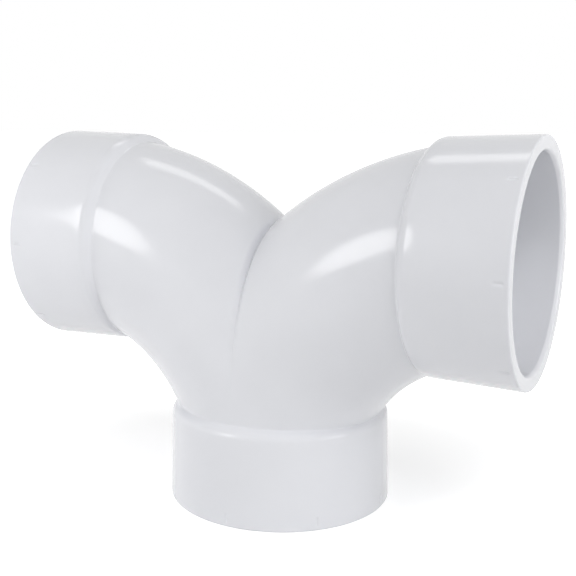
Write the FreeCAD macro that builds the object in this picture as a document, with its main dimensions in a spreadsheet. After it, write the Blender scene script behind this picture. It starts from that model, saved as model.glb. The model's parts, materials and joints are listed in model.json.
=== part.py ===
import FreeCAD, Part
import os
import Sketcher

# Double elbow: a moulded drain fitting with one hub at the bottom and one at each end.
# Two quarter bends rise together out of the bottom hub and part to the left and right.
# Origin at the centre of the bottom mouth, +Z up its axis, +X along the right-hand hub.

V = FreeCAD.Vector

# Sizes in millimetres
SIZES = {
    # from the axes' meeting point to each of the three mouths
    "centre_to_mouth": 115.9,
    # pipe that the sockets take, and the room round it
    "pipe_diameter": 88.9,
    "land_clearance": 0.1,
    "entrance_clearance": 0.4,
    "socket_depth": 38.1,
    "entrance_depth": 14.0,
    "mouth_bevel_width": 0.8,
    "mouth_bevel_depth": 1.7,
    # hubs round the sockets
    "hub_wall": 6.55,
    "hub_draft": 1.15,
    "shoulder_wall": 6.6,
    "shoulder_bevel_length": 3.4,
    "shoulder_bevel_width": 4.55,
    "rim_bevel": 0.5,
    # bends between the hubs
    "waterway_diameter": 77.9,
    "body_wall": 7.35,
    "bend_start_height": 10.7,
    "bend_end_inset": 15.0,
    "bend_rise": 2.6,
}

LAND_RADIUS = "(Sizes.pipe_diameter + Sizes.land_clearance) / 2"
ENTRANCE_RADIUS = "(Sizes.pipe_diameter + Sizes.entrance_clearance) / 2"
HUB_RADIUS = "(" + ENTRANCE_RADIUS + " + Sizes.hub_wall)"
HUB_LENGTH = "(Sizes.socket_depth + Sizes.shoulder_wall)"
BODY_DIAMETER = "(Sizes.waterway_diameter + 2 * Sizes.body_wall)"
BEND_RADIUS = "(Sizes.centre_to_mouth + Sizes.bend_rise - Sizes.bend_start_height)"
BEND_CENTRE_OUT = "(Sizes.centre_to_mouth - Sizes.bend_end_inset)"

# Straight runs that follow a quarter bend's arc, in the body and in the waterway behind its wall
BODY_RUNS = 28
WATERWAY_RUNS = 14


def make_sheet(doc):
    """Spreadsheet with the driving sizes."""
    sheet = doc.addObject("Spreadsheet::Sheet", "Sizes")
    for row, (alias, size) in enumerate(SIZES.items(), start=1):
        sheet.set("A%d" % row, alias)
        sheet.set("B%d" % row, str(size))
        sheet.setAlias("B%d" % row, alias)
    doc.recompute()


def new_sketch(body, name, plane):
    """Sketch on one of the body's own origin planes."""
    sketch = body.newObject("Sketcher::SketchObject", name)
    support = next(item for item in body.Origin.OriginFeatures if item.Role == plane)
    sketch.AttachmentSupport = (support, [""])
    sketch.MapMode = "FlatFace"
    return sketch


def sheet_value(sketch, expression):
    """Number that an expression of the sheet's sizes gives."""
    result = sketch.evalExpression(expression)
    return getattr(result, "Value", result)


def dimension(sketch, name, expression, *constraint):
    """Named dimension that follows an expression of the sheet's sizes."""
    index = sketch.addConstraint(Sketcher.Constraint(*constraint, sheet_value(sketch, expression)))
    sketch.renameConstraint(index, name)
    sketch.setExpression("Constraints." + name, expression)


def closed_loop(sketch, corners):
    """Closed outline of straight lines through the corners."""
    for start, end in zip(corners, corners[1:] + corners[:1]):
        sketch.addGeometry(Part.LineSegment(start, end), False)
    for line in range(len(corners)):
        following = (line + 1) % len(corners)
        sketch.addConstraint(Sketcher.Constraint("Coincident", line, 2, following, 1))


def align(sketch, direction, *lines):
    """Lines kept horizontal or vertical."""
    for line in lines:
        sketch.addConstraint(Sketcher.Constraint(direction, line))


def bend_spine(body, runs):
    """Spine of a quarter bend that rises over the bottom hub and turns right. Straight runs touch
    the bend's arc, each at its middle, with half a run at each end."""
    spine = new_sketch(body, "BendSpine", "XZ_Plane")
    half_run = 90 / runs / 2
    places = [("1", 0)]
    for run in range(runs):
        places.append(("1 / cos(%.9g deg)" % half_run, half_run * (2 * run + 1)))
    places.append(("1", 90))
    across, up = [], []
    for reach, turn in places:
        spoke = " - " + BEND_RADIUS + " * " + reach
        across.append(BEND_CENTRE_OUT + spoke + " * cos(%.9g deg)" % turn)
        rise = BEND_RADIUS + " * " + reach + " * sin(%.9g deg)" % turn
        up.append("Sizes.bend_start_height + " + rise)
    corners = [V(sheet_value(spine, x), sheet_value(spine, z), 0) for x, z in zip(across, up)]
    for line, (start, end) in enumerate(zip(corners, corners[1:])):
        spine.addGeometry(Part.LineSegment(start, end), False)
        if line:
            spine.addConstraint(Sketcher.Constraint("Coincident", line - 1, 2, line, 1))
    for corner in range(len(corners)):
        line, tip = (corner, 1) if corner < len(corners) - 1 else (corner - 1, 2)
        dimension(spine, "across_%d" % corner, across[corner], "DistanceX", -1, 1, line, tip)
        dimension(spine, "up_%d" % corner, up[corner], "DistanceY", -1, 1, line, tip)
    return spine


def quarter_bend(body, diameter, runs):
    """Round bend along its spine, cut off at the middle plane."""
    spine = bend_spine(body, runs)
    section = new_sketch(body, "BendSection", "XY_Plane")
    section.setExpression("AttachmentOffset.Base.z", "Sizes.bend_start_height")
    start_x = BEND_CENTRE_OUT + " - " + BEND_RADIUS
    middle = V(sheet_value(section, start_x), 0, 0)
    circle = section.addGeometry(Part.Circle(middle, V(0, 0, 1), sheet_value(section, diameter) / 2), False)
    section.addConstraint(Sketcher.Constraint("PointOnObject", circle, 3, -1))
    dimension(section, "section_diameter", diameter, "Diameter", circle)
    dimension(section, "start_x", start_x, "DistanceX", -1, 1, circle, 3)
    body.Document.recompute()
    turn = body.newObject("PartDesign::AdditivePipe", "Bend")
    turn.Profile = section
    turn.Spine = (spine, [""])
    turn.Transition = "Right corner"
    body.Document.recompute()

    # the left bend takes over at the middle plane
    beyond = new_sketch(body, "BeyondMiddle", "YZ_Plane")
    width = "2 * " + diameter
    height = BEND_RADIUS + " + " + diameter
    right = sheet_value(beyond, width) / 2
    top = sheet_value(beyond, height)
    closed_loop(beyond, (V(-right, 0, 0), V(right, 0, 0), V(right, top, 0), V(-right, top, 0)))
    beyond.addConstraint(Sketcher.Constraint("Symmetric", 0, 1, 0, 2, -1, 1))
    align(beyond, "Horizontal", 0, 2)
    align(beyond, "Vertical", 1)
    dimension(beyond, "width", width, "DistanceX", 0, 1, 0, 2)
    dimension(beyond, "height", height, "DistanceY", 1, 1, 1, 2)
    dimension(beyond, "top_width", width, "DistanceX", 2, 2, 2, 1)
    body.Document.recompute()
    trim = body.newObject("PartDesign::Pocket", "MiddleTrim")
    trim.Profile = beyond
    trim.Type = "ThroughAll"
    body.Document.recompute()


def hub_profile(sketch):
    """Half outline of a hub: bevelled rim, side with draft, bevelled shoulder.
    It runs inwards from the mouth, with the hub's axis along the sketch's first axis."""
    length = sheet_value(sketch, HUB_LENGTH)
    mouth = sheet_value(sketch, HUB_RADIUS)
    shoulder = mouth - sheet_value(sketch, "Sizes.hub_draft")
    rim = sheet_value(sketch, "Sizes.rim_bevel")
    bevel = sheet_value(sketch, "Sizes.shoulder_bevel_length")
    back = shoulder - sheet_value(sketch, "Sizes.shoulder_bevel_width")
    corners = (V(0, 0, 0), V(0, mouth - rim, 0), V(rim, mouth, 0), V(length - bevel, shoulder, 0))
    closed_loop(sketch, corners + (V(length, back, 0), V(length, 0, 0)))
    sketch.addConstraint(Sketcher.Constraint("Coincident", 0, 1, -1, 1))
    align(sketch, "Vertical", 0, 4)
    align(sketch, "Horizontal", 5)
    dimension(sketch, "length", HUB_LENGTH, "DistanceX", 0, 1, 3, 2)
    dimension(sketch, "hub_radius", HUB_RADIUS, "DistanceY", 0, 1, 1, 2)
    dimension(sketch, "rim_bevel_depth", "Sizes.rim_bevel", "DistanceX", 1, 1, 1, 2)
    dimension(sketch, "rim_bevel_width", "Sizes.rim_bevel", "DistanceY", 1, 1, 1, 2)
    dimension(sketch, "draft", "Sizes.hub_draft", "DistanceY", 2, 2, 2, 1)
    dimension(sketch, "shoulder_bevel_length", "Sizes.shoulder_bevel_length", "DistanceX", 3, 1, 3, 2)
    dimension(sketch, "shoulder_bevel_width", "Sizes.shoulder_bevel_width", "DistanceY", 3, 2, 3, 1)


def socket_profile(sketch):
    """Half outline of a socket's hollow: bevelled mouth, tapered entrance, straight land, pipe stop.
    It runs inwards from the mouth, with the socket's axis along the sketch's first axis."""
    mouth_radius = ENTRANCE_RADIUS + " + Sizes.mouth_bevel_width"
    mouth = sheet_value(sketch, mouth_radius)
    entrance = sheet_value(sketch, ENTRANCE_RADIUS)
    land = sheet_value(sketch, LAND_RADIUS)
    bevel = sheet_value(sketch, "Sizes.mouth_bevel_depth")
    taper = sheet_value(sketch, "Sizes.entrance_depth")
    depth = sheet_value(sketch, "Sizes.socket_depth")
    corners = (V(0, 0, 0), V(0, mouth, 0), V(bevel, entrance, 0), V(taper, land, 0))
    closed_loop(sketch, corners + (V(depth, land, 0), V(depth, 0, 0)))
    sketch.addConstraint(Sketcher.Constraint("Coincident", 0, 1, -1, 1))
    align(sketch, "Vertical", 0, 4)
    align(sketch, "Horizontal", 3, 5)
    dimension(sketch, "mouth_radius", mouth_radius, "DistanceY", 0, 1, 0, 2)
    dimension(sketch, "bevel_depth", "Sizes.mouth_bevel_depth", "DistanceX", 1, 1, 1, 2)
    dimension(sketch, "entrance_radius", ENTRANCE_RADIUS, "DistanceY", 0, 1, 1, 2)
    dimension(sketch, "entrance_depth", "Sizes.entrance_depth", "DistanceX", 0, 1, 2, 2)
    dimension(sketch, "land_radius", LAND_RADIUS, "DistanceY", 0, 1, 2, 2)
    dimension(sketch, "socket_depth", "Sizes.socket_depth", "DistanceX", 0, 1, 3, 2)


def turned(body, name, profile, quarter_turns):
    """Round form on a mouth's axis. The sketch is turned so that it runs in from that mouth."""
    sketch = new_sketch(body, name + "Profile", "XZ_Plane")
    sketch.AttachmentOffset = FreeCAD.Placement(V(), FreeCAD.Rotation(V(0, 0, 1), 90 * quarter_turns))
    profile(sketch)
    feature = body.newObject("PartDesign::Revolution", name)
    feature.Profile = sketch
    feature.ReferenceAxis = (sketch, ["H_Axis"])
    feature.Angle = 360
    return sketch


def three_way_form(doc, name, bend_diameter, runs, profile):
    """Two mirrored bends with a turned form at each of the three mouths."""
    body = doc.addObject("PartDesign::Body", name)
    quarter_bend(body, bend_diameter, runs)
    side = turned(body, "Side", profile, 2)
    side.setExpression("AttachmentOffset.Base.x", "Sizes.centre_to_mouth")
    side.setExpression("AttachmentOffset.Base.y", "Sizes.centre_to_mouth")
    doc.recompute()
    mirror = body.newObject("PartDesign::Mirrored", "LeftHalf")
    mirror.TransformMode = "Whole shape"
    middle = next(item for item in body.Origin.OriginFeatures if item.Role == "YZ_Plane")
    mirror.MirrorPlane = (middle, [""])
    body.Tip = mirror
    doc.recompute()
    turned(body, "Bottom", profile, 1)
    doc.recompute()
    return body


def write_parts(doc, subparts):
    """Each sub-part to its own file, once nothing in the document has failed."""
    for item in doc.Objects:
        if "Invalid" in item.State or "Error" in item.State:
            raise RuntimeError(item.Name + " failed")
    os.makedirs("parts", exist_ok=True)
    for item in subparts:
        if item.Shape.isNull() or not item.Shape.isValid():
            raise RuntimeError(item.Label + " has no valid shape")
        item.Shape.exportStep("parts/" + item.Label + ".step")


doc = FreeCAD.newDocument("double_elbow")
make_sheet(doc)
outside = three_way_form(doc, "Outside", BODY_DIAMETER, BODY_RUNS, hub_profile)
hollow = three_way_form(doc, "Hollow", "Sizes.waterway_diameter", WATERWAY_RUNS, socket_profile)
fitting = doc.addObject("Part::Cut", "Fitting")
fitting.Label = "double_elbow"
fitting.Base = outside
fitting.Tool = hollow
fitting.Placement = FreeCAD.Placement()
doc.recompute()
write_parts(doc, [fitting])
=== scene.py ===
"""The looks of a moulded white drain fitting, a double quarter bend with three hubs.

The wall is one closed surface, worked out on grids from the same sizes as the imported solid,
with the fillets and roundings that the mould leaves. The wall's sizes are in millimetres until
its mesh is made, and those of the camera, the lamps and the floor are in metres.
"""

import json

import bmesh
import bpy
import numpy as np
from mathutils import Matrix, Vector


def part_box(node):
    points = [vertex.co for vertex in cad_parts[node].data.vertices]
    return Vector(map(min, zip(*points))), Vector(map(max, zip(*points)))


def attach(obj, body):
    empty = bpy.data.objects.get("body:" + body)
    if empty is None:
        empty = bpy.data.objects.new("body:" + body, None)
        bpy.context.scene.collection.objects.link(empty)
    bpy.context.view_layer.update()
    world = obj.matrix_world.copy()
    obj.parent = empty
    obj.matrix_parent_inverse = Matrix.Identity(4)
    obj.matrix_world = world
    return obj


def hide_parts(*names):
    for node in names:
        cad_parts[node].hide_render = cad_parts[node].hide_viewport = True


MM = 0.001

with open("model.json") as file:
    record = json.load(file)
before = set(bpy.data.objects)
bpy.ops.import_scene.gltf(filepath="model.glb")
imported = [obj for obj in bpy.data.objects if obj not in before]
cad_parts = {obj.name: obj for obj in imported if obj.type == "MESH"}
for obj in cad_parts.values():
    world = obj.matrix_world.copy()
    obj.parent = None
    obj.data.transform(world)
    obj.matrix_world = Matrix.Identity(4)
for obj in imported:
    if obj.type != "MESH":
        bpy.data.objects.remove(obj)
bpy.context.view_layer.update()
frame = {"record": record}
high_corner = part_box("double_elbow")[1]
right_socket = next(m for m in frame["record"]["mounts"] if m["name"] == "right_socket")

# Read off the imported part.
CENTRE_TO_MOUTH = high_corner.x / MM
LAND_RADIUS = right_socket["dims"]["r_mm"]

# The hubs, measured in from the mouth (depths) and out from the hub's axis (radii). The ring is
# the inner part of the pipe stop's flat face, next to the waterway.
HUB_RADIUS = 51.2
HUB_DRAFT = 1.15
SHOULDER_DEPTH = 41.3
SHOULDER_LENGTH = 3.4
SHOULDER_WIDTH = 4.55
SOCKET_DEPTH = 38.1
ENTRANCE_DEPTH = 14.0
ENTRANCE_WIDENING = 0.15
MOUTH_BEVEL_DEPTH = 1.7
MOUTH_BEVEL_WIDTH = 0.8
STOP_RING_WIDTH = 2

# The quarter bends: the centre and the radius of the right one's centre line, and the radii of
# its two tubes.
BEND_X = 100.9
BEND_Z = 10.7
BEND_RADIUS = 107.8
BODY_RADIUS = 46.3
WATERWAY_RADIUS = 38.95

# The groove that the mould leaves along the crease between the bends, where it is deepest.
CREASE_CUT = 2.9
CREASE_HALF_WIDTH = 1.35

# Roundings and fillets. The shoulder's two are reaches of smooth_lower, and the others are
# radii of arcs, each drawn in ARC_STEPS.
SHOULDER_ROUND = 2.0
SHOULDER_FILLET = 0.35
RIM_ROUND = 0.8
LIP_ROUND = 1.5
STOP_FILLET = 0.8
ARC_STEPS = 6

# Alignment ticks: short grooves across each hub's rim end, evenly spaced round it.
TICKS_ROUND_HUB = 8
TICK_START = 1.7
TICK_END = 6.5
TICK_FADE = 1.2
TICK_CUT = 0.4
TICK_HALF_WIDTH = 0.6

# Rows of a bend, from the middle plane to its side hub. The body's first ones lie close together
# beside the crease: CREASE_STEPS over a share of the way, growing by a power. The rest are even.
CREASE_STEPS = 14
CREASE_SHARE = 0.05
CREASE_GROWTH = 1.5
BODY_STEPS = 32
WATERWAY_STEPS = 18

# Rows of a hub's outside, as depths from the mouth. The body's grid ends at the first depth. From
# there to the second, the columns move from their turns in the body to those round the hub, and
# the shoulder lies between the second and the third.
BODY_ENDS_AT = 54.0
COLUMNS_TURNED_AT = 47.0
SHOULDER_ROWS_END_AT = 39.6
TURNING_STEPS = 7
SHOULDER_STEPS = 37
SIDE_ROWS = (36, 28, 18, 10, 7, 6.5, 6.2, 5.9, 5.6, 5.3, 4.3, 3.3, 2.9, 2.6, 2.3, 2.0, 1.7, 1.3)

# Rows of the straight runs in a hub's profile: rim, bevel, entrance, land and pipe stop.
RUN_STEPS = (2, 3, 5, 3, 3)

# Columns: round a bend on the crease and off it, and round a hub, as distances from a tick to
# each side and the number of even steps from there to the next tick.
CREASE_COLUMNS = 96
THROAT_COLUMNS = 96
NEAR_TICK = (0.2, 0.4, 0.6, 0.85, 1.2, 1.7)
BETWEEN_TICKS = 12

# The search for a hub's wall: the radii that it lies between, and how often their span is
# halved. A value that depends on itself is worked out again SETTLING_ROUNDS times.
SEARCH_FROM = 30.0
SEARCH_TO = 70.0
HALVINGS = 40
SETTLING_ROUNDS = 60

# Points closer than WELD, in metres, are made one, and edges are sharp from an angle in degrees.
WELD = 2e-6
SHARP_FROM = 30

# The plastic. Each noise has a scale, in lumps to the metre, and a detail. The first clouds the
# colour, each colour at its level of the noise. The second varies the roughness between two
# values. The third is the finish left by the mould, and its height is in metres.
CLOUD_NOISE = (22, 3)
CLOUD_COLOURS = ((0.3, (0.795, 0.803, 0.838, 1)), (0.7, (0.825, 0.833, 0.868, 1)))
POLISH_NOISE = (60, 4)
POLISH_ROUGHNESS = (0.13, 0.18)
FINISH_NOISE = (900, 2)
FINISH_STRENGTH = 0.04
FINISH_HEIGHT = 0.0002
PLASTIC_IOR = 1.54

# The camera, fitted to the photograph: its (turn, tilt, roll, distance), and the place that it
# looks at. That place's column and row in the picture and the focal length are in pixels.
PICTURE_SIDE = 576
CAMERA_SIGHT = (29.32, 10.67, -0.36, 0.4496)
LOOKS_AT = (-0.0222, 0, 0.0939)
LOOKS_AT_COLUMN = 237.8
LOOKS_AT_ROW = 289.4
FOCAL_PIXELS = 955.0
SENSOR_WIDTH = 36
CLIP_START = 0.01

# The floor and the even light. The gloss mirrors both as one white. The floor's glow grows to a
# full white between two distances from the centre of the bottom hub.
WHITE = (1, 1, 1, 1)
FLOOR_HALF_SIDE = 6.0
FLOOR_COLOUR = (0.9, 0.9, 0.9, 1)
FLOOR_GLOW = 0.5
GLOW_GROWS_FROM = 0.12
GLOW_GROWS_TO = 0.35
EVEN_LIGHT = 0.12
MIRRORED_WHITE = 1.0

# The lamps face the fitting's middle: name, (turn, tilt, roll, distance), (width, height),
# strength, outline, and whether the gloss mirrors the lamp.
FITTING_MIDDLE = (0, 0, 0.09)
LAMPS = (
    ("front_lamp", (-31.2, 22.9, 0, 0.8), (0.284, 0.327), 10.8, "ELLIPSE", True),
    ("right_lamp", (87, 15, 0, 0.8), (0.284, 0.327), 7.8, "ELLIPSE", True),
    ("overhead_lamp", (-168.5, 66, 11, 1.2), (0.66, 0.206), 7.2, "RECTANGLE", True),
    ("left_fill", (-75, 12, 0, 0.5), (0.35, 0.35), 5.3, "RECTANGLE", False),
    ("low_left_fill", (-50, 4, 0, 0.5), (0.4, 0.16), 5.4, "RECTANGLE", False),
    ("top_left_fill", (-60, 60, 0, 0.45), (0.4, 0.4), 0.7, "RECTANGLE", False),
    ("right_fill", (60, 14, 0, 1.2), (1.2, 0.4), 8.2, "RECTANGLE", False),
    ("high_right_fill", (60, 50, 0, 1.1), (0.6, 0.4), 15.2, "RECTANGLE", False),
    ("back_fill", (165, 25, 0, 1.2), (0.8, 0.5), 1.6, "RECTANGLE", False),
)


def smooth_lower(a, b, reach):
    """The lower of two distances, less a quarter of reach times h squared, where h falls from 1
    where the two are equal to 0 where they differ by reach. It fills the corner between two
    walls."""
    h = np.maximum(reach - np.abs(a - b), 0) / reach
    return np.minimum(a, b) - h * h * reach / 4


def smooth_higher(a, b, reach):
    """The higher of two distances with its corner rounded, the mirror of smooth_lower."""
    return -smooth_lower(-a, -b, reach)


def eased(t):
    """A smooth step from 0 to 1: three t squared less two t cubed."""
    t = np.clip(t, 0, 1)
    return t * t * (3 - 2 * t)


def bell(off, half_width):
    """A groove's section: e to the power of minus the square of off over the half width."""
    return np.exp(-((off / half_width) ** 2))


def groove_cut(deepest, y):
    """Depth of the crease's groove. It is deepest in the crotch, at y = 0, and runs out towards
    the body's front and back as the root of 1 less the square of y over the body's radius."""
    return deepest * np.sqrt(np.maximum(1 - (y / BODY_RADIUS) ** 2, 0))


def folded(x, cut):
    """Distance from the middle plane, less the groove's cut, which falls off as a bell."""
    return np.abs(x) - cut * bell(x, CREASE_HALF_WIDTH)


def body_distance(x, y, z):
    """Distance out of the body: out of a tube round the bend's circle in the plane y = 0. Its
    half beyond the middle plane is folded over, which leaves the crease."""
    off_middle = folded(x, groove_cut(CREASE_CUT, y))
    off_circle = np.hypot(BEND_X - off_middle, z - BEND_Z) - BEND_RADIUS
    return np.hypot(off_circle, y) - BODY_RADIUS


def hub_side(depth):
    """Radius of a hub's side at a depth: it falls by the draft as far as the shoulder."""
    return HUB_RADIUS - HUB_DRAFT * depth / SHOULDER_DEPTH


def hub_distance(depth, radius):
    """Distance out of a hub: the higher of those from its side and its shoulder's cone."""
    side = radius - hub_side(depth)
    slope = np.hypot(SHOULDER_LENGTH, SHOULDER_WIDTH)
    beyond = (depth - SHOULDER_DEPTH) * SHOULDER_WIDTH
    outside = (radius - hub_side(SHOULDER_DEPTH)) * SHOULDER_LENGTH
    return smooth_higher(side, (beyond + outside) / slope, SHOULDER_ROUND)


def side_hub_place(depth, turn, radius):
    """Points of the right hub. Depth is from its mouth, and turn from the top to the back."""
    x = CENTRE_TO_MOUTH - depth + 0 * turn
    return x, radius * np.sin(turn), CENTRE_TO_MOUTH + radius * np.cos(turn)


def bottom_hub_place(depth, turn, radius):
    """Points of the bottom hub. Depth is from its mouth, turn from the back to the right."""
    return radius * np.sin(turn), radius * np.cos(turn), depth + 0 * turn


def wall_radius(place, depth, turn):
    """Radius at which a ray from the hub's axis leaves the body and hub together, found by
    halving a span. The two distances are joined with the shoulder's fillet."""
    near = np.full(np.broadcast(depth, turn).shape, SEARCH_FROM)
    far = np.full(near.shape, SEARCH_TO)
    for _ in range(HALVINGS):
        middle = (near + far) / 2
        body = body_distance(*place(depth, turn, middle))
        inside = smooth_lower(body, hub_distance(depth, middle), SHOULDER_FILLET) < 0
        near = np.where(inside, middle, near)
        far = np.where(inside, far, middle)
    return (near + far) / 2


def tick_cut(depth, turn):
    """How deep a tick cuts into a hub's side: a bell across it, with the way round the hub as
    the way off, and along it a smooth rise and fall at the ends."""
    step = 2 * np.pi / TICKS_ROUND_HUB
    off_tick = (turn + step / 2) % step - step / 2
    across = bell(off_tick * HUB_RADIUS, TICK_HALF_WIDTH)
    along = eased((depth - TICK_START) / TICK_FADE) * eased((TICK_END - depth) / TICK_FADE)
    return TICK_CUT * across * along


def tube_grid(radius, end_depth, row_steps, deepest_cut):
    """The right quarter bend as rows from the middle plane and the bottom hub up to the side
    hub, and columns round the tube. A point is at angle a round the tube's section and at an
    angle round the bend's centre whose cosine is (BEND_X - folded x) / (BEND_RADIUS + radius
    cos a). Columns on the crease start at x = 0, the others where they reach the height
    end_depth, and x grows to the plane that is end_depth in from the right mouth. The groove's
    cut moves the crease's end and the other columns' starts, and depends on where they are, so
    both are worked out until they settle."""
    crease_end = np.pi / 2
    for _ in range(SETTLING_ROUNDS):
        cut = groove_cut(deepest_cut, radius * np.sin(crease_end))
        reach = np.hypot(BEND_X + cut, end_depth - BEND_Z)
        crease_end = np.arccos((reach - BEND_RADIUS) / radius)
    on_crease = np.linspace(-crease_end, crease_end, CREASE_COLUMNS + 1)
    on_throat = np.linspace(crease_end, 2 * np.pi - crease_end, THROAT_COLUMNS + 1)[1:-1]
    turn = np.concatenate([on_crease, on_throat])
    from_centre = BEND_RADIUS + radius * np.cos(turn)
    rise = (end_depth - BEND_Z) / from_centre
    level_x = BEND_X - from_centre * np.sqrt(np.maximum(1 - rise**2, 0))
    cut = groove_cut(deepest_cut, radius * np.sin(turn))
    start = level_x
    for _ in range(SETTLING_ROUNDS):
        start = level_x + start - folded(start, cut)
    start[: CREASE_COLUMNS + 1] = 0
    x = start + (CENTRE_TO_MOUTH - end_depth - start) * row_steps[:, None]
    across = BEND_X - folded(x, cut)
    z = BEND_Z + np.sqrt(from_centre**2 - across**2)
    y = np.broadcast_to(radius * np.sin(turn), x.shape)
    return np.stack([x, y, z], axis=-1)


def throat_row(grid):
    """The half loop where a tube's grid meets the bottom hub, from the back to the front."""
    return np.concatenate([grid[0, CREASE_COLUMNS:], grid[0, :1]])


def hub_rows(place, depths, loop_turn, hub_turn):
    """The outside of the body and hub from the tube's grid to the rim. The columns' turns go
    from those of the tube's end to the hub's own."""
    share = eased((depths - COLUMNS_TURNED_AT) / (BODY_ENDS_AT - COLUMNS_TURNED_AT))
    turn = hub_turn + (loop_turn - hub_turn) * share[:, None]
    depth = np.broadcast_to(depths[:, None], turn.shape)
    radius = wall_radius(place, depth, turn) - tick_cut(depth, turn)
    return np.stack(place(depth, turn, radius), axis=-1)


def straight(start, end, steps):
    """Points from start up to but not including end, closer together near both ends."""
    share = (1 - np.cos(np.pi * np.arange(steps) / steps)) / 2
    return start + (end - start) * share[:, None]


def rounded(before, corner, after, radius):
    """Points of an arc that rounds a corner. It touches both legs at radius times the tangent
    of half the turn, and its points lie at radius from its centre. With no radius it is the
    corner alone."""
    if not radius:
        return corner[None]
    leg_in = (corner - before) / np.linalg.norm(corner - before)
    leg_out = (after - corner) / np.linalg.norm(after - corner)
    turn = np.arccos(np.clip(leg_in @ leg_out, -1, 1))
    start = corner - leg_in * radius * np.tan(turn / 2)
    inward = leg_out - leg_in * (leg_in @ leg_out)
    inward = inward / np.linalg.norm(inward)
    angle = np.linspace(0, turn, ARC_STEPS + 1)[:, None]
    return start + radius * (leg_in * np.sin(angle) + inward * (1 - np.cos(angle)))


def hub_turns():
    """Turns round a hub, close together at its ticks."""
    step = 2 * np.pi / TICKS_ROUND_HUB
    near = np.array((0,) + NEAR_TICK) / HUB_RADIUS
    between = np.linspace(near[-1], step - near[-1], BETWEEN_TICKS + 1)[1:-1]
    sector = np.concatenate([near, between, step - near[:0:-1]])
    return (sector + step * np.arange(TICKS_ROUND_HUB)[:, None]).ravel()


def hub_profile():
    """Depths and radii of a hub round the rim and the lip, in along the tapered entrance and
    the straight land, and down the pipe stop. It starts with the rim's arc."""
    entrance = LAND_RADIUS + ENTRANCE_WIDENING
    corners = np.array([
        (TICK_END, hub_side(TICK_END)),
        (0, HUB_RADIUS),
        (0, entrance + MOUTH_BEVEL_WIDTH),
        (MOUTH_BEVEL_DEPTH, entrance),
        (ENTRANCE_DEPTH, LAND_RADIUS),
        (SOCKET_DEPTH, LAND_RADIUS),
        (SOCKET_DEPTH, WATERWAY_RADIUS + STOP_RING_WIDTH),
    ])
    radii = (RIM_ROUND, LIP_ROUND, LIP_ROUND, 0, STOP_FILLET)
    arcs = [
        rounded(before, corner, after, radius)
        for before, corner, after, radius in zip(corners, corners[1:], corners[2:], radii)
    ]
    last = corners[-1:]
    pieces = []
    for arc, following, steps in zip(arcs, arcs[1:] + [last], RUN_STEPS):
        pieces += [arc[:-1], straight(arc[-1], following[0], steps)]
    return np.concatenate(pieces + [last])


def turned_rows(place, profile, hub_turn):
    """A hub's profile carried round its axis."""
    depth = np.broadcast_to(profile[:, :1], (len(profile), len(hub_turn)))
    return np.stack(place(depth, hub_turn + 0 * depth, profile[:, 1:]), axis=-1)


def add_object(name, data):
    """An object in the scene, at the origin."""
    piece = bpy.data.objects.new(name, data)
    bpy.context.scene.collection.objects.link(piece)
    return piece


def grid_mesh(name, grids):
    """One mesh of quads from grids, each an array of points in rows and columns with whether
    its columns close up. Each grid joins its neighbours where their edge rows coincide."""
    points = []
    faces = []
    first = 0
    for grid, closed in grids:
        rows, columns = grid.shape[:2]
        index = first + np.arange(rows * columns).reshape(rows, columns)
        if closed:
            index = np.concatenate([index, index[:, :1]], axis=1)
        quads = np.stack([index[:-1, :-1], index[:-1, 1:], index[1:, 1:], index[1:, :-1]], axis=-1)
        points.append(grid.reshape(-1, 3))
        faces.append(quads.reshape(-1, 4))
        first += rows * columns
    points = np.concatenate(points) * MM
    faces = np.concatenate(faces)
    mesh = bpy.data.meshes.new(name)
    mesh.vertices.add(len(points))
    mesh.vertices.foreach_set("co", points.astype(np.float32).ravel())
    mesh.loops.add(faces.size)
    mesh.loops.foreach_set("vertex_index", faces.astype(np.int32).ravel())
    mesh.polygons.add(len(faces))
    mesh.polygons.foreach_set("loop_start", np.arange(0, faces.size, 4, dtype=np.int32))
    mesh.update(calc_edges=True)
    joined = bmesh.new()
    joined.from_mesh(mesh)
    bmesh.ops.remove_doubles(joined, verts=joined.verts, dist=WELD)
    bmesh.ops.recalc_face_normals(joined, faces=joined.faces)
    joined.to_mesh(mesh)
    joined.free()
    mesh.shade_smooth()
    mesh.set_sharp_from_angle(angle=np.radians(SHARP_FROM))
    return add_object(name, mesh)


def mirrored(grids):
    """The grids with their twins across the middle plane x = 0."""
    return grids + [(grid * (-1, 1, 1), closed) for grid, closed in grids]


def bends():
    """The grids of the right bend's body and waterway."""
    near_crease = (np.arange(CREASE_STEPS + 1) / CREASE_STEPS) ** CREASE_GROWTH * CREASE_SHARE
    even = np.linspace(CREASE_SHARE, 1, BODY_STEPS + 1)[1:]
    body_rows = np.concatenate([near_crease, even])
    waterway_rows = np.linspace(0, 1, WATERWAY_STEPS + 1)
    body = tube_grid(BODY_RADIUS, BODY_ENDS_AT, body_rows, CREASE_CUT)
    waterway = tube_grid(WATERWAY_RADIUS, SOCKET_DEPTH, waterway_rows, 0)
    return body, waterway


def hub_grids(place, loop_turn, hub_turn, waterway_end, closed):
    """A hub's grids: its outside rows, its turned profile, and the ring between the pipe stop
    and the waterway's last row of points. Loop_turn holds the turns of the body's last row."""
    profile = hub_profile()
    turning = np.linspace(BODY_ENDS_AT, COLUMNS_TURNED_AT, TURNING_STEPS + 1)
    shoulder = np.linspace(COLUMNS_TURNED_AT, SHOULDER_ROWS_END_AT, SHOULDER_STEPS + 1)[1:]
    depths = np.concatenate([turning, shoulder, SIDE_ROWS, profile[:1, 0]])
    turned = turned_rows(place, profile, hub_turn)
    ring = np.stack([turned[-1], waterway_end])
    outside = hub_rows(place, depths, loop_turn, hub_turn)
    return [(outside, closed), (turned, closed), (ring, closed)]


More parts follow.
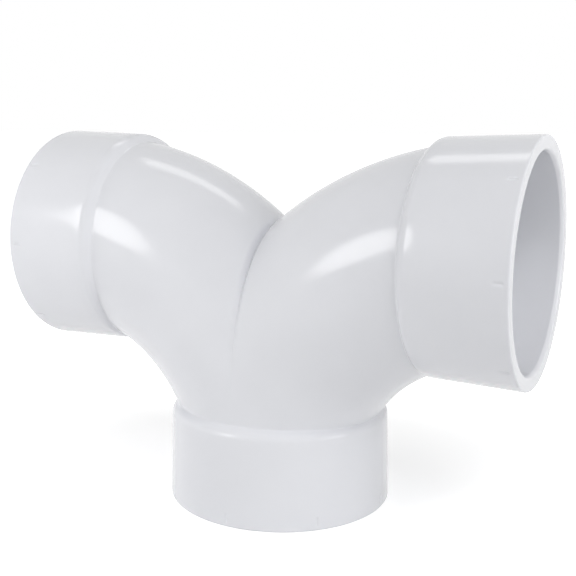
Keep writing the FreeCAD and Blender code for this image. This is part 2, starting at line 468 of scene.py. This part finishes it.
def fitting():
    """The whole wall: the right bend with its side hub and half of the bottom hub, mirrored. The
    side hub's columns start with the one whose turn is nearest to the bend's first column."""
    body, waterway = bends()
    turns = hub_turns()

    side_loop = np.unwrap(np.arctan2(body[-1, :, 1], body[-1, :, 2] - CENTRE_TO_MOUTH))
    first = np.argmin(np.abs(turns - side_loop[0] % (2 * np.pi)))
    side_turns = np.concatenate([turns[first:] - 2 * np.pi, turns[:first]])

    back_to_front = throat_row(body)
    bottom_loop = np.arctan2(back_to_front[:, 0], back_to_front[:, 1])
    bottom_turns = turns[: len(turns) // 2 + 1]

    half = [(body, True)]
    half += hub_grids(side_hub_place, side_loop, side_turns, waterway[-1], True)
    half += [(waterway, True)]
    half += hub_grids(bottom_hub_place, bottom_loop, bottom_turns, throat_row(waterway), False)
    return grid_mesh("fitting_wall", mirrored(half))


def white_pvc():
    """Moulded white plastic, glossy, with faint clouding in its colour and a trace of the
    mould's finish in its surface."""
    material = bpy.data.materials.new("white_pvc")
    material.use_nodes = True
    nodes = material.node_tree.nodes
    links = material.node_tree.links
    shader = nodes["Principled BSDF"]
    place = nodes.new("ShaderNodeTexCoord")

    def noise(scale, detail):
        """A noise fixed to the object."""
        lumps = nodes.new("ShaderNodeTexNoise")
        lumps.inputs["Scale"].default_value = scale
        lumps.inputs["Detail"].default_value = detail
        links.new(place.outputs["Object"], lumps.inputs["Vector"])
        return lumps.outputs["Fac"]

    tint = nodes.new("ShaderNodeValToRGB")
    for element, (position, colour) in zip(tint.color_ramp.elements, CLOUD_COLOURS):
        element.position = position
        element.color = colour
    links.new(noise(*CLOUD_NOISE), tint.inputs["Fac"])
    links.new(tint.outputs["Color"], shader.inputs["Base Color"])

    dulling = nodes.new("ShaderNodeMapRange")
    for end, roughness in zip(("To Min", "To Max"), POLISH_ROUGHNESS):
        dulling.inputs[end].default_value = roughness
    links.new(noise(*POLISH_NOISE), dulling.inputs["Value"])
    links.new(dulling.outputs["Result"], shader.inputs["Roughness"])

    relief = nodes.new("ShaderNodeBump")
    relief.inputs["Strength"].default_value = FINISH_STRENGTH
    relief.inputs["Distance"].default_value = FINISH_HEIGHT
    links.new(noise(*FINISH_NOISE), relief.inputs["Height"])
    links.new(relief.outputs["Normal"], shader.inputs["Normal"])
    shader.inputs["IOR"].default_value = PLASTIC_IOR
    return material


def facing(place, turn, tilt, roll, distance):
    """The matrix of a camera or lamp that faces a place. Turn is to the right of the front and
    tilt is up, both in degrees, as is the roll about the line to the place."""
    turn, tilt, roll = np.radians((turn, tilt, roll))
    away = np.array((np.sin(turn) * np.cos(tilt), -np.cos(turn) * np.cos(tilt), np.sin(tilt)))
    level = np.cross((0, 0, 1), away)
    level = level / np.linalg.norm(level)
    upright = np.cross(away, level)
    columns = np.eye(4)
    columns[:3, 0] = np.cos(roll) * level + np.sin(roll) * upright
    columns[:3, 1] = np.cos(roll) * upright - np.sin(roll) * level
    columns[:3, 2] = away
    columns[:3, 3] = place + distance * away
    return Matrix(columns.tolist())


def camera():
    """The photograph's viewpoint: to the right of the front and a little above, looking at a
    point left of the fitting's middle, with the picture shifted to the photograph's framing."""
    lens = bpy.data.cameras.new("camera")
    lens.sensor_width = SENSOR_WIDTH
    lens.lens = FOCAL_PIXELS / PICTURE_SIDE * SENSOR_WIDTH
    lens.shift_x = (PICTURE_SIDE / 2 - LOOKS_AT_COLUMN) / PICTURE_SIDE
    lens.shift_y = (LOOKS_AT_ROW - PICTURE_SIDE / 2) / PICTURE_SIDE
    lens.clip_start = CLIP_START
    view = add_object("camera", lens)
    view.matrix_world = facing(LOOKS_AT, *CAMERA_SIGHT)
    bpy.context.scene.camera = view


def soft_lamp(name, sight, size, strength, outline, mirrored_in_gloss):
    """A lamp that faces the fitting's middle. Strength is its power for each square metre of
    the rectangle round it. One that the gloss doesn't mirror fills in without a highlight."""
    light = bpy.data.lights.new(name, "AREA")
    light.shape = outline
    light.size, light.size_y = size
    light.energy = strength * size[0] * size[1]
    lamp = add_object(name, light)
    lamp.visible_glossy = mirrored_in_gloss
    lamp.visible_camera = False
    lamp.matrix_world = facing(FITTING_MIDDLE, *sight)


def higher(nodes, links, first, second):
    """The higher of two outputs."""
    node = nodes.new("ShaderNodeMath")
    node.operation = "MAXIMUM"
    links.new(first, node.inputs[0])
    links.new(second, node.inputs[1])
    return node.outputs[0]


def ray_kinds(nodes, links):
    """Two outputs: 1 for rays from the camera, and 1 for those that a glossy or clear surface
    sends on, else 0."""
    path = nodes.new("ShaderNodeLightPath")
    glossy, clear = path.outputs["Is Glossy Ray"], path.outputs["Is Transmission Ray"]
    return path.outputs["Is Camera Ray"], higher(nodes, links, glossy, clear)


def mixed(nodes, links, share, shader, other, end):
    """Two shaders mixed by a share of the second, for the end of a node tree."""
    mix = nodes.new("ShaderNodeMixShader")
    links.new(share, mix.inputs["Fac"])
    links.new(shader, mix.inputs[1])
    links.new(other, mix.inputs[2])
    links.new(mix.outputs["Shader"], nodes[end].inputs["Surface"])


def white_paper():
    """Matt white paper. The camera sees it glow a little under its own shade, so that it
    reaches white where it is fully lit and keeps the fitting's shadow. The gloss mirrors it as
    plain white."""
    paper = bpy.data.materials.new("white_paper")
    paper.use_nodes = True
    nodes = paper.node_tree.nodes
    links = paper.node_tree.links
    shade = nodes["Principled BSDF"]
    shade.inputs["Base Color"].default_value = FLOOR_COLOUR
    shade.inputs["Roughness"].default_value = 1.0
    shade.inputs["Specular IOR Level"].default_value = 0.0
    place = nodes.new("ShaderNodeTexCoord")
    away = nodes.new("ShaderNodeVectorMath")
    away.operation = "LENGTH"
    links.new(place.outputs["Object"], away.inputs[0])
    level = nodes.new("ShaderNodeMapRange")
    level.inputs["From Min"].default_value = GLOW_GROWS_FROM
    level.inputs["From Max"].default_value = GLOW_GROWS_TO
    level.inputs["To Min"].default_value = FLOOR_GLOW
    level.inputs["To Max"].default_value = 1.0
    links.new(away.outputs["Value"], level.inputs["Value"])
    from_camera, sent_on = ray_kinds(nodes, links)
    strength = nodes.new("ShaderNodeMath")
    strength.operation = "MULTIPLY"
    links.new(level.outputs["Result"], strength.inputs[0])
    links.new(from_camera, strength.inputs[1])
    glow = nodes.new("ShaderNodeEmission")
    glow.inputs["Color"].default_value = WHITE
    links.new(strength.outputs[0], glow.inputs["Strength"])
    lit = nodes.new("ShaderNodeAddShader")
    links.new(shade.outputs["BSDF"], lit.inputs[0])
    links.new(glow.outputs["Emission"], lit.inputs[1])
    plain = nodes.new("ShaderNodeEmission")
    plain.inputs["Color"].default_value = WHITE
    plain.inputs["Strength"].default_value = MIRRORED_WHITE
    lit_output, plain_output = lit.outputs["Shader"], plain.outputs["Emission"]
    mixed(nodes, links, sent_on, lit_output, plain_output, "Material Output")
    return paper


def floor():
    """A wide white floor at the height of the bottom hub's rim."""
    half = FLOOR_HALF_SIDE
    corners = [(-half, -half, 0), (half, -half, 0), (half, half, 0), (-half, half, 0)]
    mesh = bpy.data.meshes.new("floor")
    mesh.from_pydata(corners, [], [(0, 1, 2, 3)])
    mesh.materials.append(white_paper())
    add_object("floor", mesh)


def surround():
    """An even surround, white to the camera and in the gloss."""
    world = bpy.data.worlds.new("surround")
    bpy.context.scene.world = world
    world.use_nodes = True
    nodes = world.node_tree.nodes
    links = world.node_tree.links
    light = nodes["Background"]
    white = nodes.new("ShaderNodeBackground")
    for background, strength in ((light, EVEN_LIGHT), (white, MIRRORED_WHITE)):
        background.inputs["Color"].default_value = WHITE
        background.inputs["Strength"].default_value = strength
    seen = higher(nodes, links, *ray_kinds(nodes, links))
    mixed(nodes, links, seen, light.outputs[0], white.outputs[0], "World Output")


def studio():
    """The floor, the surround and the soft lamps."""
    floor()
    surround()
    for lamp in LAMPS:
        soft_lamp(*lamp)


bpy.context.scene.view_settings.view_transform = "Standard"
wall = fitting()
wall.data.materials.append(white_pvc())
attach(wall, "root")
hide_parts("double_elbow")
camera()
studio()
